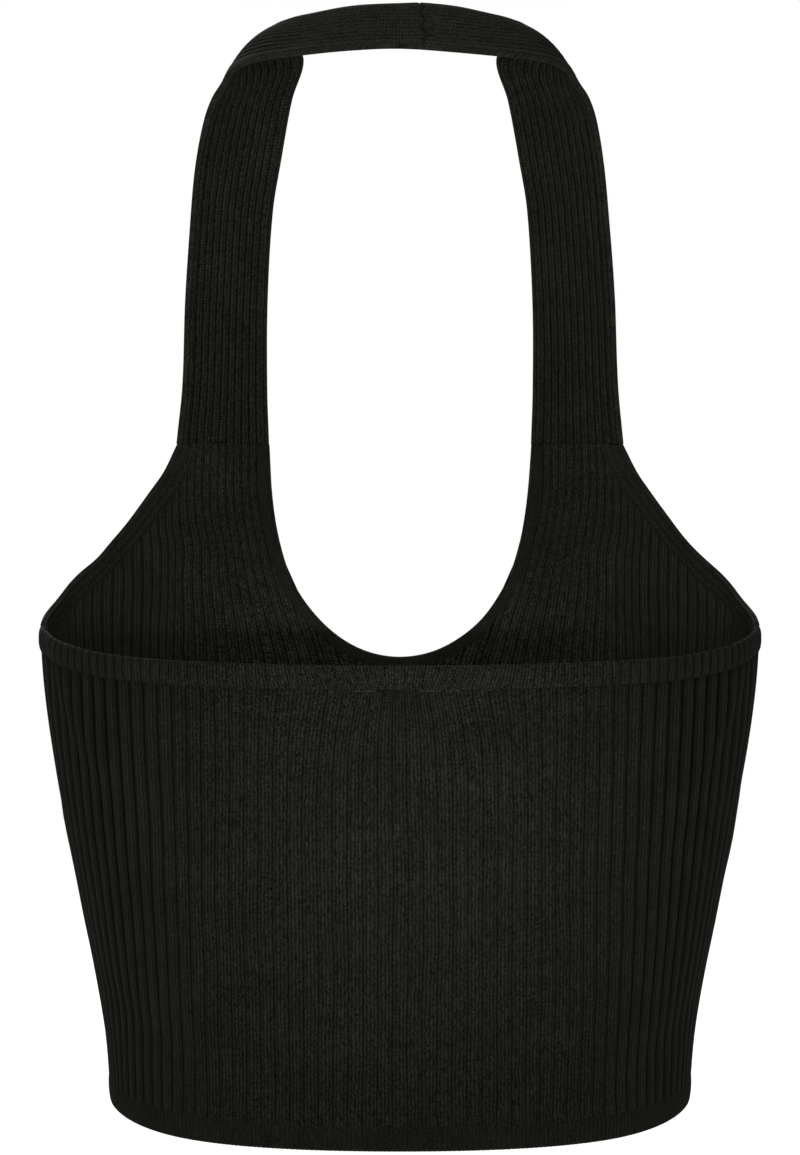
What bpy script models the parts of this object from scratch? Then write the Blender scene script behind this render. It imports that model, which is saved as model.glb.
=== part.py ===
"""Halter neck top in ribbed knit, filled out as if worn, with nobody in it.

+Z is up, the front of the top faces -Y and its back faces +Y, so the wearer's left is +X.
The origin is at the nape: the middle of the neck strap, on the side that lies on the neck.
Lengths are in metres and angles in radians.
"""
import math
from collections import namedtuple

import bmesh
import bpy
from mathutils import Vector

# Cloth
WALL = 0.0014               # plain cloth, measured at the bottom of a groove
RIB_RISE = 0.0008           # height of a rib above its groove
FINE_RISE = 0.0004          # the same for the fine ribs of the hem and of the back's top border
SEAM_GAP = 0.0003           # clearance between two pieces at a seam
BORDER_PROUD = 0.0008       # the back's border is cloth folded double
HEM_PROUD = 0.0003          # the hem band is knitted denser than the body
EDGE_FOLD = 0.0006          # extra thickness where the cloth's edge is turned in

# Ribs
RIBS = 59                   # all across the back, and all across the front
RIB_PITCH = 0.0061          # in the middle of the back and of the front
EVEN_RIBS = 18              # ribs each side of the middle that keep this pitch
ARMHOLE_RIBS = 11           # ribs of half the front that end at the armhole
STRAP_RIBS = 11             # ribs that run on into a strap
NECK_RIBS = 0.5 * RIBS - ARMHOLE_RIBS - STRAP_RIBS
HEM_RIBS = 3 * RIBS
BORDER_RIBS = 89

# Heights of the torso's parts
HEM_MIDDLE = -0.4576        # lower edge of the hem, at the spine and at the middle of the front
HEM_SIDE = -0.4518          # the same at the side seams
HEM_SHARPNESS = 7.0         # how late the hem turns up to the side seams
HEM_BAND = 0.0104
BACK_TOP_MIDDLE = -0.2550   # top edge of the back, on the spine
BACK_TOP_SIDE = -0.2488     # the same at the side seams
BACK_TOP_SHARPNESS = 8.0    # how late the edge turns up to the side seams
BACK_BORDER = 0.0100
SECTION_POWER = 2.15        # 2 makes a section of the torso an ellipse, more makes it squarer

# Front neckline, half of an oval
NECKLINE_HALF_WIDTH = 0.0566
NECKLINE_TOP = -0.1776
NECKLINE_DEPTH = 0.0972
NECKLINE_POWER = 2.58       # 2 is an ellipse, more is a squarer bottom

# Bust shaping of the front
CUP_RISE = 0.013
CUP_X = 0.070
CUP_HEIGHT = -0.272
CUP_RADIUS = 0.050

# Straps
STRAP_STEPS = 22
STRAP_FOLD = 0.15           # part of the strap's width that is turned in at each edge
NAPE_SEAM = 0.0092          # the seam that joins the straps lies this far to the wearer's right

# Rows of the two panels, as parts of the way up from the hem band
BACK_ROWS = (0.0, 0.18, 0.36, 0.54, 0.72, 0.87, 1.0)
FRONT_ROWS = (0.0, 0.18, 0.36, 0.52, 0.66, 0.75, 0.82, 0.89, 0.955, 1.0)
BUST_HEIGHT = -0.263        # the ribs of the front run upright from the hem to here
BEND_START = 0.66           # parts of the way up between which a rib of the front
BEND_END = 0.955            # leaves its upright course for its place at the top edge

# Half breadth of the torso, the place of its side seam, and how far its back and front reach
# behind and before that seam, outside of the cloth. Above the underarm only the front exists.
TorsoSize = namedtuple("TorsoSize", "height half_breadth side_y back_depth front_depth")
TORSO = (
    TorsoSize(-0.457, 0.1222, -0.0752, 0.0815, 0.0750),
    TorsoSize(-0.418, 0.1252, -0.0745, 0.0830, 0.0775),
    TorsoSize(-0.366, 0.1345, -0.0720, 0.0850, 0.0850),
    TorsoSize(-0.315, 0.1436, -0.0690, 0.0870, 0.0960),
    TorsoSize(-0.263, 0.1497, -0.0660, 0.0885, 0.1030),
    TorsoSize(-0.210, 0.1490, -0.0650, 0.0885, 0.0860),
    TorsoSize(-0.177, 0.1463, -0.0650, 0.0885, 0.0727),
)

# Armhole edge of the front, from the side seam to the strap: the share of its ribs that end
# before each point, and how far round the torso the point lies from the side seam, in degrees.
EdgePoint = namedtuple("EdgePoint", "share degrees height")
ARMHOLE = (
    EdgePoint(0.00, 0.0, -0.2472),
    EdgePoint(0.30, 17.0, -0.2385),
    EdgePoint(0.62, 35.8, -0.2168),
    EdgePoint(0.85, 46.5, -0.1930),
    EdgePoint(1.00, 50.8, -0.1766),
)

# Edges of the neck strap outside the cloth, from the nape round the neck and down to the front:
# in_ is the edge beside the neck, out_ is the edge beside the shoulder.
StrapRow = namedtuple("StrapRow", "in_x in_y in_z out_x out_y out_z crown")
STRAP = (
    StrapRow(0.0000, -0.0130, 0.0094, 0.0000, 0.0155, -0.0074, 0.0010),
    StrapRow(0.0180, -0.0150, 0.0086, 0.0220, 0.0135, -0.0084, 0.0010),
    StrapRow(0.0335, -0.0215, 0.0060, 0.0425, 0.0055, -0.0104, 0.0014),
    StrapRow(0.0440, -0.0315, 0.0038, 0.0590, -0.0105, -0.0134, 0.0030),
    StrapRow(0.0490, -0.0440, 0.0008, 0.0695, -0.0335, -0.0180, 0.0036),
    StrapRow(0.0440, -0.0570, -0.0055, 0.0742, -0.0510, -0.0235, 0.0026),
    StrapRow(0.0402, -0.0675, -0.0140, 0.0780, -0.0605, -0.0290, 0.0016),
    StrapRow(0.0451, -0.0780, -0.0295, 0.0814, -0.0690, -0.0385, 0.0014),
    StrapRow(0.0503, -0.0895, -0.0560, 0.0851, -0.0785, -0.0574, 0.0012),
    StrapRow(0.0539, -0.0980, -0.0770, 0.0874, -0.0870, -0.0763, 0.0012),
    StrapRow(0.0566, -0.1125, -0.1153, 0.0907, -0.1022, -0.1147, 0.0012),
    StrapRow(0.0571, -0.1262, -0.1545, 0.0929, -0.1158, -0.1536, 0.0014),
    StrapRow(0.0566, -0.1332, -0.1776, 0.0955, -0.1223, -0.1766, 0.0016),
)

# One rib, as places across its pitch and how much of its height it has there.
WIDE_RIB = ((0.0, 0.0), (0.15, 1.0), (0.85, 1.0))
NARROW_RIB = ((0.0, 0.0), (0.5, 1.0))

YARN = (0.012, 0.0115, 0.0100, 1.0)
YARN_ROUGHNESS = 0.92
SECTION_SAMPLES = 360
DELTA = 1.0e-4


def interpolate(rows, at):
    """Values of a table's other columns on a smooth curve through its rows, by its first column."""
    last = len(rows) - 1
    index = 0
    while index < last - 1 and at > rows[index + 1][0]:
        index += 1
    step = rows[index + 1][0] - rows[index][0]
    part = (at - rows[index][0]) / step

    def slope(row, column):
        before = rows[max(row - 1, 0)]
        after = rows[min(row + 1, last)]
        return (after[column] - before[column]) / (after[0] - before[0])

    values = []
    for column in range(1, len(rows[0])):
        start = rows[index][column]
        end = rows[index + 1][column]
        start_slope = slope(index, column) * step
        end_slope = slope(index + 1, column) * step
        values.append(
            start * (1.0 + 2.0 * part) * (1.0 - part) ** 2
            + start_slope * part * (1.0 - part) ** 2
            + end * part ** 2 * (3.0 - 2.0 * part)
            + end_slope * part ** 2 * (part - 1.0)
        )
    return values


def mix(start, end, part):
    return start + (end - start) * part


# --- The torso as a surface. Angle 0 is the spine, pi / 2 the left side seam, pi the front. ---

def squared(share):
    """Sine or cosine on a section of the torso, which is a little squarer than an ellipse."""
    return math.copysign(abs(share) ** (2.0 / SECTION_POWER), share)


def cup_swell(x, height):
    """How far the bust shaping moves the front's cloth forward."""
    across = (abs(x) - CUP_X) / CUP_RADIUS
    up = (height - CUP_HEIGHT) / CUP_RADIUS
    return CUP_RISE * math.exp(-across ** 2 - up ** 2)


def torso_skin(angle, height):
    """Point of the torso at the top of its ribs."""
    size = TorsoSize(height, *interpolate(TORSO, height))
    x = size.half_breadth * squared(math.sin(angle))
    rear = squared(math.cos(angle))
    if rear >= 0.0:
        return Vector((x, size.side_y + size.back_depth * rear, height))
    reach = size.front_depth + cup_swell(x, height)
    return Vector((x, size.side_y + reach * rear, height))


def torso_point(angle, height, out):
    """Point of the torso moved out of the cloth, or into it if out is negative."""
    along = torso_skin(angle + DELTA, height) - torso_skin(angle - DELTA, height)
    upward = torso_skin(angle, height + DELTA) - torso_skin(angle, height - DELTA)
    outward = upward.cross(along).normalized()
    return torso_skin(angle, height) + outward * out


def rib_angles(height, span, columns):
    """Angles of a ribbed panel's columns at a height, from one side seam to the other.

    The ribs in the middle keep their pitch. Those near the seams share what is left.
    """
    angles = [mix(*span, index / SECTION_SAMPLES) for index in range(SECTION_SAMPLES + 1)]
    points = [torso_skin(angle, height) for angle in angles]
    runs = [0.0]
    for before, after in zip(points, points[1:]):
        runs.append(runs[-1] + (after - before).length)
    left_over = (0.5 * runs[-1] - 0.5 * RIBS * RIB_PITCH) / (0.5 * RIBS - EVEN_RIBS) ** 2
    found = []
    index = 0
    for place, _ in columns:
        ribs = abs(place - 0.5) * RIBS
        reach = RIB_PITCH * ribs + left_over * max(0.0, ribs - EVEN_RIBS) ** 2
        wanted = 0.5 * runs[-1] + math.copysign(reach, place - 0.5)
        while index < SECTION_SAMPLES - 1 and runs[index + 1] < wanted:
            index += 1
        part = (wanted - runs[index]) / (runs[index + 1] - runs[index])
        found.append(mix(angles[index], angles[index + 1], part))
    return found


# --- Walls of cloth ---

def rib_columns(count, profile):
    """Places across a ribbed piece, from 0 to 1, and the height of the ribs at each."""
    columns = [((rib + place) / count, rise) for rib in range(count) for place, rise in profile]
    return columns + [(1.0, 0.0)]


def bridge(mesh, outer, inner):
    """Close the gap between a long row of points and a shorter one that runs beside it."""
    group = (len(outer) - 1) // (len(inner) - 1)
    for pane in range(len(inner) - 1):
        start = pane * group
        middle = start + group // 2
        for index in range(start, start + group):
            nearest = inner[pane] if index < middle else inner[pane + 1]
            mesh.faces.new((outer[index], outer[index + 1], nearest))
        mesh.faces.new((outer[middle], inner[pane + 1], inner[pane]))


def build_wall(name, outer_rows, inner_rows):
    """One closed piece of cloth between its ribbed outer rows and its plain inner rows."""
    mesh = bmesh.new()
    outer = [[mesh.verts.new(point) for point in row] for row in outer_rows]
    inner = [[mesh.verts.new(point) for point in row] for row in inner_rows]
    for grid in (outer, inner):
        for lower, upper in zip(grid, grid[1:]):
            for column in range(len(lower) - 1):
                mesh.faces.new((lower[column], lower[column + 1], upper[column + 1], upper[column]))
    for column in (0, -1):
        for row in range(len(outer) - 1):
            mesh.faces.new((outer[row][column], outer[row + 1][column],
                            inner[row + 1][column], inner[row][column]))
    for row in (0, -1):
        bridge(mesh, outer[row], inner[row])
    bmesh.ops.triangulate(mesh, faces=mesh.faces[:], quad_method="SHORT_EDGE")
    bmesh.ops.recalc_face_normals(mesh, faces=mesh.faces[:])
    data = bpy.data.meshes.new(name)
    mesh.to_mesh(data)
    mesh.free()
    piece = bpy.data.objects.new(name, data)
    bpy.context.collection.objects.link(piece)
    piece.data.materials.append(yarn_material(name))


def yarn_material(name):
    material = bpy.data.materials.new(name + "_knit")
    material.use_nodes = True
    shader = material.node_tree.nodes["Principled BSDF"]
    shader.inputs["Base Color"].default_value = YARN
    shader.inputs["Roughness"].default_value = YARN_ROUGHNESS
    material.diffuse_color = YARN
    return material


def torso_wall(name, rows, columns, pane, rise, proud=0.0, folds=None):
    """Wall on the torso. Each row holds an (angle, height) for each column.

    The plain inside has one pane for every few columns. folds holds, for each row, which of its
    columns have their edge turned in.
    """
    outer = []
    inner = []
    for index, row in enumerate(rows):
        outer.append([
            torso_point(angle, height, proud - rise * (1.0 - part))
            for (angle, height), (_, part) in zip(row, columns)
        ])
        folded = folds[index] if folds else [False] * len(row)
        inner.append([
            torso_point(angle, height, -RIB_RISE - WALL - EDGE_FOLD * fold)
            for (angle, height), fold in zip(row[::pane], folded[::pane])
        ])
    build_wall(name, outer, inner)


# --- Back and hem ---

SEAM_ANGLE = (0.5 * SEAM_GAP / TORSO[0].back_depth) ** (0.5 * SECTION_POWER)
BACK_SPAN = (-0.5 * math.pi + SEAM_ANGLE, 0.5 * math.pi - SEAM_ANGLE)
FRONT_SPAN = (0.5 * math.pi + SEAM_ANGLE, 1.5 * math.pi - SEAM_ANGLE)


def back_top(angle):
    """Height of the back's top edge, which turns up at the side seams."""
    turn = abs(math.sin(angle)) ** BACK_TOP_SHARPNESS
    return mix(BACK_TOP_MIDDLE, BACK_TOP_SIDE, turn)


def hem_edge(angle):
    """Height of the hem's lower edge, which turns up at the side seams."""
    turn = abs(math.sin(angle)) ** HEM_SHARPNESS
    return mix(HEM_MIDDLE, HEM_SIDE, turn)


def build_back():
    columns = rib_columns(RIBS, WIDE_RIB)
    rows = []
    for part in BACK_ROWS:
        level = mix(HEM_MIDDLE + HEM_BAND, BACK_TOP_MIDDLE - BACK_BORDER, part)
        row = []
        for angle in rib_angles(level, BACK_SPAN, columns):
            low = hem_edge(angle) + HEM_BAND + SEAM_GAP
            row.append((angle, mix(low, back_top(angle) - BACK_BORDER, part)))
        rows.append(row)
    torso_wall("back_panel", rows, columns, len(WIDE_RIB), RIB_RISE)

    columns = rib_columns(BORDER_RIBS, WIDE_RIB)
    angles = rib_angles(BACK_TOP_MIDDLE, BACK_SPAN, columns)
    rows = [
        [(angle, back_top(angle) - drop) for angle in angles]
        for drop in (BACK_BORDER - SEAM_GAP, 0.0)
    ]
    torso_wall("back_border", rows, columns, len(WIDE_RIB), FINE_RISE, BORDER_PROUD)


def build_hem(name, span):
    columns = rib_columns(HEM_RIBS, NARROW_RIB)
    angles = rib_angles(HEM_MIDDLE, span, columns)
    rows = [[(angle, hem_edge(angle) + rise) for angle in angles] for rise in (0.0, HEM_BAND)]
    pane = len(NARROW_RIB) * HEM_RIBS // RIBS
    torso_wall(name, rows, columns, pane, FINE_RISE, HEM_PROUD)


# --- Front ---

def front_edge(rib):
    """Top edge of the front's left half, by ribs from the side seam: its angle and height."""
    if rib <= ARMHOLE_RIBS:
        degrees, height = interpolate(ARMHOLE, rib / ARMHOLE_RIBS)
        return FRONT_SPAN[0] + math.radians(degrees), height
    if rib <= ARMHOLE_RIBS + STRAP_RIBS:
        part = (rib - ARMHOLE_RIBS) / STRAP_RIBS
        x = mix(STRAP[-1].out_x, STRAP[-1].in_x, part)
        height = mix(STRAP[-1].out_z, STRAP[-1].in_z, part)
    else:
        turn = 0.5 * math.pi * (rib - ARMHOLE_RIBS - STRAP_RIBS) / NECK_RIBS
        x = NECKLINE_HALF_WIDTH * math.cos(turn)
        height = NECKLINE_TOP - NECKLINE_DEPTH * math.sin(turn) ** (2.0 / NECKLINE_POWER)
    half_breadth = TorsoSize(height, *interpolate(TORSO, height)).half_breadth
    return math.pi - math.asin((x / half_breadth) ** (0.5 * SECTION_POWER)), height


def bend_share(part):
    """How far a rib of the front has left its upright course, by the part of its way up."""
    share = min(max((part - BEND_START) / (BEND_END - BEND_START), 0.0), 1.0)
    return share * share * (3.0 - 2.0 * share)


def build_front():
    columns = rib_columns(RIBS, WIDE_RIB)
    hem_height = HEM_MIDDLE + HEM_BAND
    hem_angles = rib_angles(hem_height, FRONT_SPAN, columns)
    bust_angles = rib_angles(BUST_HEIGHT, FRONT_SPAN, columns)
    tops = []
    at_neckline = []
    for place, _ in columns:
        from_side = RIBS * min(place, 1.0 - place)
        angle, height = front_edge(from_side)
        tops.append((angle if place < 0.5 else 2.0 * math.pi - angle, height))
        at_neckline.append(from_side >= ARMHOLE_RIBS + STRAP_RIBS - 1)
    rows = []
    folds = []
    for part in FRONT_ROWS:
        row = []
        for hem_angle, bust_angle, (top_angle, top_height) in zip(hem_angles, bust_angles, tops):
            low = hem_edge(hem_angle) + HEM_BAND + SEAM_GAP
            height = mix(low, top_height, part)
            way_up = (height - hem_height) / (BUST_HEIGHT - hem_height)
            upright = mix(hem_angle, bust_angle, way_up)
            row.append((mix(upright, top_angle, bend_share(part)), height))
        rows.append(row)
        folds.append([part >= FRONT_ROWS[-2] and beside for beside in at_neckline])
    torso_wall("front_panel", rows, columns, len(WIDE_RIB), RIB_RISE, folds=folds)


# --- Neck strap, one loop that runs from the left of the front round the neck to its right ---

def loop_table():
    """Rows of the whole loop, by the distance of each from the nape along the loop's middle."""
    def middle(row):
        return 0.5 * Vector((row.in_x + row.out_x, row.in_y + row.out_y, row.in_z + row.out_z))

    run = 0.0
    left = [(run, *STRAP[0])]
    for before, after in zip(STRAP, STRAP[1:]):
        run += (middle(after) - middle(before)).length
        left.append((run, *after))
    right = []
    for run, *values in left[:0:-1]:
        row = StrapRow(*values)
        right.append((-run, *row._replace(in_x=-row.in_x, out_x=-row.out_x)))
    return right + left


LOOP = loop_table()
LOOP_END = LOOP[-1][0]


def loop_skin(run, across):
    """Point of the loop at the top of its ribs; across is 0 at the shoulder edge, 1 at the neck."""
    row = StrapRow(*interpolate(LOOP, run))
    inner = Vector((row.in_x, row.in_y, row.in_z))
    outer = Vector((row.out_x, row.out_y, row.out_z))
    ahead = StrapRow(*interpolate(LOOP, run + DELTA))
    back = StrapRow(*interpolate(LOOP, run - DELTA))
    forward = Vector((ahead.in_x - back.in_x + ahead.out_x - back.out_x,
                      ahead.in_y - back.in_y + ahead.out_y - back.out_y,
                      ahead.in_z - back.in_z + ahead.out_z - back.out_z))
    outward = (inner - outer).cross(forward).normalized()
    crown = row.crown * 4.0 * across * (1.0 - across)
    return outer.lerp(inner, across) + outward * crown


def loop_point(run, across, out):
    forward = loop_skin(run + DELTA, across) - loop_skin(run - DELTA, across)
    inward = loop_skin(run, across + DELTA) - loop_skin(run, across - DELTA)
    return loop_skin(run, across) + inward.cross(forward).normalized() * out


def build_strap(name, start, end):
    columns = rib_columns(STRAP_RIBS, WIDE_RIB)
    outer = []
    inner = []
    for step in range(STRAP_STEPS + 1):
        run = mix(start, end, step / STRAP_STEPS)
        outer.append([loop_point(run, place, -RIB_RISE * (1.0 - rise)) for place, rise in columns])
        row = []
        for place, _ in columns[::len(WIDE_RIB)]:
            folded = min(place, 1.0 - place) < STRAP_FOLD
            row.append(loop_point(run, place, -RIB_RISE - WALL - EDGE_FOLD * folded))
        inner.append(row)
    build_wall(name, outer, inner)


def clear_scene():
    for item in list(bpy.data.objects):
        bpy.data.objects.remove(item, do_unlink=True)


def build_top():
    build_back()
    build_front()
    build_hem("back_hem", BACK_SPAN)
    build_hem("front_hem", FRONT_SPAN)
    half_gap = 0.5 * SEAM_GAP
    build_strap("strap_left", -NAPE_SEAM + half_gap, LOOP_END - SEAM_GAP)
    build_strap("strap_right", -LOOP_END + SEAM_GAP, -NAPE_SEAM - half_gap)


clear_scene()
build_top()
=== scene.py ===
"""Looks of the halter neck top: knitted walls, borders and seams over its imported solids.

+Z is up, the front faces -Y, the wearer's left is +X, the origin is at the nape. Metres, radians.
"""
import math

import bpy
import numpy as np
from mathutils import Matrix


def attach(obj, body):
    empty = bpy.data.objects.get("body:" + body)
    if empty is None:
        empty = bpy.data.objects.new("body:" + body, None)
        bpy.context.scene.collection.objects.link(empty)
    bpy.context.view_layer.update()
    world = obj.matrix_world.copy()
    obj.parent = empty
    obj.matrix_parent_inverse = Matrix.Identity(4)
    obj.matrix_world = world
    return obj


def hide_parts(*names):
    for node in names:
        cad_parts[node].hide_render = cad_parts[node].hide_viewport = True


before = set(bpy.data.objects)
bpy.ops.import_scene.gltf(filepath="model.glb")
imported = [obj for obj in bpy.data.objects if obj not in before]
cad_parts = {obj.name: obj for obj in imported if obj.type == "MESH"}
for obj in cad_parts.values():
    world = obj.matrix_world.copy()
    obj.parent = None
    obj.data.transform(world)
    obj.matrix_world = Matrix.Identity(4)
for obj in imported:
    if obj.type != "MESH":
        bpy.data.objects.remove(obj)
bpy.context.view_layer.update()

# --- Sizes that the solids have too ---
WALL = 0.0014  # the cloth at the bottom of a groove
RIB_RISE = 0.0008  # height of a rib above its groove
SEAM_GAP = 0.0003  # clearance between two pieces at a seam
BORDER_PROUD = 0.0008  # the back's border is cloth folded double
RIBS = 59  # all across the back, and all across the front
RIB_PITCH = 0.0061  # in the middle of the back and of the front
HEM_RIBS = 3 * RIBS
BORDER_RIBS = 89
HEM_MIDDLE = -0.4576  # lower edge of the hem, at the spine and at the middle of the front
HEM_SIDE = -0.4518  # the same at the side seams
HEM_SHARPNESS = 7.0  # how late the hem turns up to the side seams
HEM_BAND = 0.0104
BACK_TOP_MIDDLE = -0.2550  # top edge of the back, on the spine
BACK_TOP_SIDE = -0.2488  # the same at the side seams
BACK_TOP_SHARPNESS = 8.0  # how late the edge turns up to the side seams
BACK_BORDER = 0.0100
SECTION_POWER = 2.15  # 2 makes a section of the torso an ellipse, more makes it squarer
NECKLINE_HALF_WIDTH = 0.0566
NECKLINE_TOP = -0.1776
NECKLINE_DEPTH = 0.0972
NECKLINE_POWER = 2.58  # 2 is an ellipse, more is a squarer bottom
CUP_RISE = 0.013
CUP_X = 0.070
CUP_HEIGHT = -0.272
CUP_RADIUS = 0.050
NAPE_SEAM = 0.0092  # the seam of the straps lies this far to the wearer's right
BUST_HEIGHT = -0.263  # the ribs of the front run upright from the hem to here
# Millimetres: height, half breadth, y of the side seam, depth of the back and of the front.
TORSO = np.array((
    (-457, 122.2, -75.2, 81.5, 75),
    (-418, 125.2, -74.5, 83, 77.5),
    (-366, 134.5, -72, 85, 85),
    (-315, 143.6, -69, 87, 96),
    (-263, 149.7, -66, 88.5, 103),
    (-210, 149, -65, 88.5, 86),
    (-177, 146.3, -65, 88.5, 72.7),
)) / 1000
# Share of the armhole's ribs, degrees from the side seam, height.
ARMHOLE = (
    (0.00, 0.0, -0.2472),
    (0.30, 17.0, -0.2385),
    (0.62, 35.8, -0.2168),
    (0.85, 46.5, -0.1930),
    (1.00, 50.8, -0.1766),
)
# Millimetres: inner edge x y z, outer edge x y z, crown.
STRAP = np.array((
    (0, -13, 9.4, 0, 15.5, -7.4, 1),
    (18, -15, 8.6, 22, 13.5, -8.4, 1),
    (33.5, -21.5, 6, 42.5, 5.5, -10.4, 1.4),
    (44, -31.5, 3.8, 59, -10.5, -13.4, 3),
    (49, -44, 0.8, 69.5, -33.5, -18, 3.6),
    (44, -57, -5.5, 74.2, -51, -23.5, 2.6),
    (40.2, -67.5, -14, 78, -60.5, -29, 1.6),
    (45.1, -78, -29.5, 81.4, -69, -38.5, 1.4),
    (50.3, -89.5, -56, 85.1, -78.5, -57.4, 1.2),
    (53.9, -98, -77, 87.4, -87, -76.3, 1.2),
    (56.6, -112.5, -115.3, 90.7, -102.2, -114.7, 1.2),
    (57.1, -126.2, -154.5, 92.9, -115.8, -153.6, 1.4),
    (56.6, -133.2, -177.6, 95.5, -122.3, -176.6, 1.6),
)) / 1000

# --- How the ribs are laid out here ---
EVEN_RIBS = 12  # ribs each side of the middle that keep the pitch
ARMHOLE_RIBS = 13  # ribs of half the front that end at the armhole
INNER_ARM_RIBS = 19  # ribs that the inner face has in the same width
STRAP_RIBS = 12  # ribs that run on into a strap
NECK_RIBS = 0.5 * RIBS - ARMHOLE_RIBS - STRAP_RIBS
EDGE_RIBS = 0.2  # share of a rib that runs along the steep part of the neckline
EDGE_TURN = math.radians(38.6)  # part of the neckline's quarter turn that is steep
BEND_START = 0.46  # parts of the way up between which a rib of the front
BEND_END = 0.955  # leaves its upright course for its place at the top edge

# --- The knit ---
COURSE = 0.00092  # height of one row of stitches on the body
STRAP_COURSE = 0.00128  # the same on the strap
BODY_WALES = 4  # columns of stitches in one rib
FRONT_WALES = 3
FINE_WALES = 3
HEM_WALES = 2
STRAP_WALES = 2
LIP = 3  # rows that round a free edge
ARC = 0.105  # metres of cloth to a radian round the torso
# Across a rib, in hundredths: the place, and the depths of the outer and the inner face in
# millimetres.
BODY_RIB = (
    (0, 90, 0), (4.5, 86, 0), (9.5, 62, 2), (14.5, 28, 5), (19.5, 8, 6), (25, 18, 3),
    (31, 2, 10), (41, 5, 20), (46, 20, 55), (50, 36, 80), (54, 20, 55), (60, 4, 20),
    (75, 18, 3), (85, 25, 5), (90.5, 62, 2), (95.5, 86, 0),
)
FRONT_RIB = (
    (0, 95, 0), (6, 85, 0), (13, 40, 3), (20, 8, 5), (32, 12, 16), (40, 2, 45), (45, 8, 80),
    (50, 20, 95), (55, 8, 80), (60, 2, 45), (68, 12, 16), (87, 40, 3), (94, 85, 0),
)
BORDER_RIB = (
    (0, 60, 0), (9, 42, 2), (18, 12, 8), (36, 14, 20), (50, 0, 30), (66, 14, 20), (82, 12, 8),
    (91, 42, 2),
)
HEM_RIB = (
    (0, 55, 0), (16, 24, 4), (34, 3, 14), (50, 0, 22), (66, 3, 14), (84, 24, 4),
)
STRAP_RIB = (
    (0, 90, 105), (7, 65, 75), (16, 22, 26), (30, 2, 2), (42, 5, 5), (50, 16, 16), (58, 5, 5),
    (70, 2, 2), (84, 22, 26), (93, 65, 75),
)
STRAP_STRIP = 1.5  # ribs of the strap's width that are turned in at each edge
STRAP_INSET = 0.012  # part of the width that rounds each edge
SEAM_WAVE = 0.0007  # how far the nape's seam wanders
SEAM_TURN = 19.0  # radians of that wave across the strap
NAPE_SWELL = 0.0003  # how far the strap stands out beside its seam
NAPE_REACH = 0.0060  # how far along
NAPE_DIP = 0.0006  # how deep it dips in the seam
NAPE_DIP_WIDTH = 0.0007
EDGE_START = SEAM_GAP + 0.0002  # a panel starts this far past the piece below it
HEM_EDGE = 0.0009  # room for the hem's round lower edge
HEM_LAP = 0.0007  # how far past its band the hem reaches, over the panel's lower end
BORDER_EDGE = 0.0010  # room for the border's round upper edge
BORDER_LEAN = (-0.55, 0.15)  # the gather in the border's ribs at its seam and top, minus inward
UNDER_BORDER = 0.0005  # how far past its solid's edge the back runs up, to meet the border
END_DEPTH = 0.45  # depth of the grooves at a panel's ends, as a share
BACK_SLACK = (0.18, 0.36)  # parts of the width off the middle between which the back slackens
STRETCHED_DEPTH = 0.70  # its grooves in the middle, as a share of BODY_RIB's
SLACK_DEPTH = 0.0014  # depth of its grooves at the sides
SLACK_POWER = 3.4  # how narrow they are
FRONT_CROWDING = 1.25  # how much closer the front's rows are at its top edge
UNDER_ARM_BAND = 0.0036  # how far the front stops below the edges that cover it
UNDER_FACING = 0.0012
INTO_STRAP = 0.0002  # how far it runs into the straps
ARM_BAND = 0.0104  # width of the ribs that run along the armhole
ARM_BAND_RIBS = 3
ARM_BAND_START = 0.0006  # how far inside the solid's edge they start
NECK_FACING = 0.0052  # how far the neckline's turned edge reaches down inside
NECK_ROLL = 0.0022  # how far it shows outside
FACING_START = 0.0012  # how far inside the solid's edge it starts
FACING_PUFF = 0.00035
FACING_OUTSIDE = 0.0001  # how far it lies over the front's own faces
FACING_INSIDE = 0.0004
ALLOWANCE_TURN = 0.030  # radians of a seam allowance each side of its seam
ALLOWANCE_RISE = 0.0007  # how far it stands up inside
OVERLAY = 0.0003  # how far the armhole's ribs lie over the front's own
DELTA = 1e-4  # step for slopes
GIRTH_SAMPLES = 1441  # points on half a girth that ribs are spaced by
CREASE_CURVE = 1.6  # how much a crease curves along its length
BACK_ROWS = 42  # rows of points on each wall
BORDER_ROWS = 11
HEM_ROWS = 8
FRONT_ROWS = 48
STRAP_ROWS = 170
EDGE_STATIONS = 90
NECK_STATIONS = 120

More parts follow.
